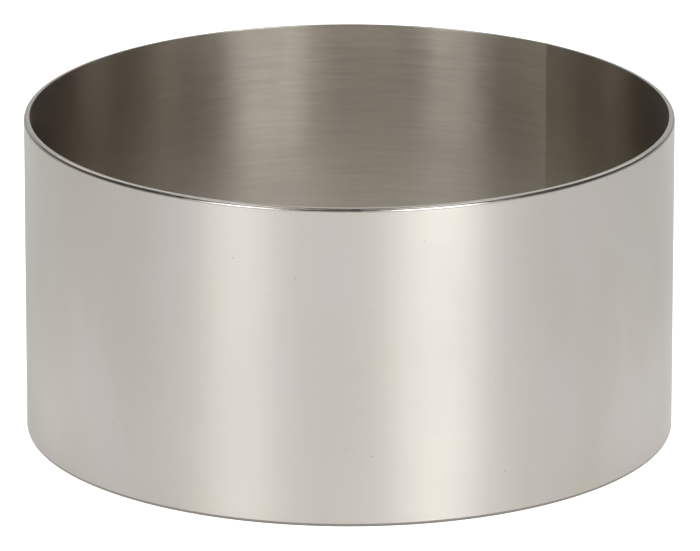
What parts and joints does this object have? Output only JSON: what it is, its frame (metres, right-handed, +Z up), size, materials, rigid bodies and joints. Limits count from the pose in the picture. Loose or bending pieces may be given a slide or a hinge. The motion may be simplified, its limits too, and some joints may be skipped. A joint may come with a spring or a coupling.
{
  "type": "food ring",
  "caption": "Open-ended round stainless steel ring with straight walls and rounded rims, for cutting, moulding and stacking portions of food.",
  "frame": {"origin": "on the ring's axis, in the plane of the lower rim that it stands on", "axes": "+Z up along the ring's axis; -Y towards the picture's camera, +X to its right"},
  "size_m": [0.09, 0.09, 0.045],
  "materials": {
    "sheet_steel": "satin, brushed along the strip",
    "weld_steel": "ground flush along the strip, a little duller than the sheet"
  },
  "bodies": {
    "root": {"rolled_band": "sheet_steel", "seam_weld": "weld_steel"}
  },
  "joints": []
}
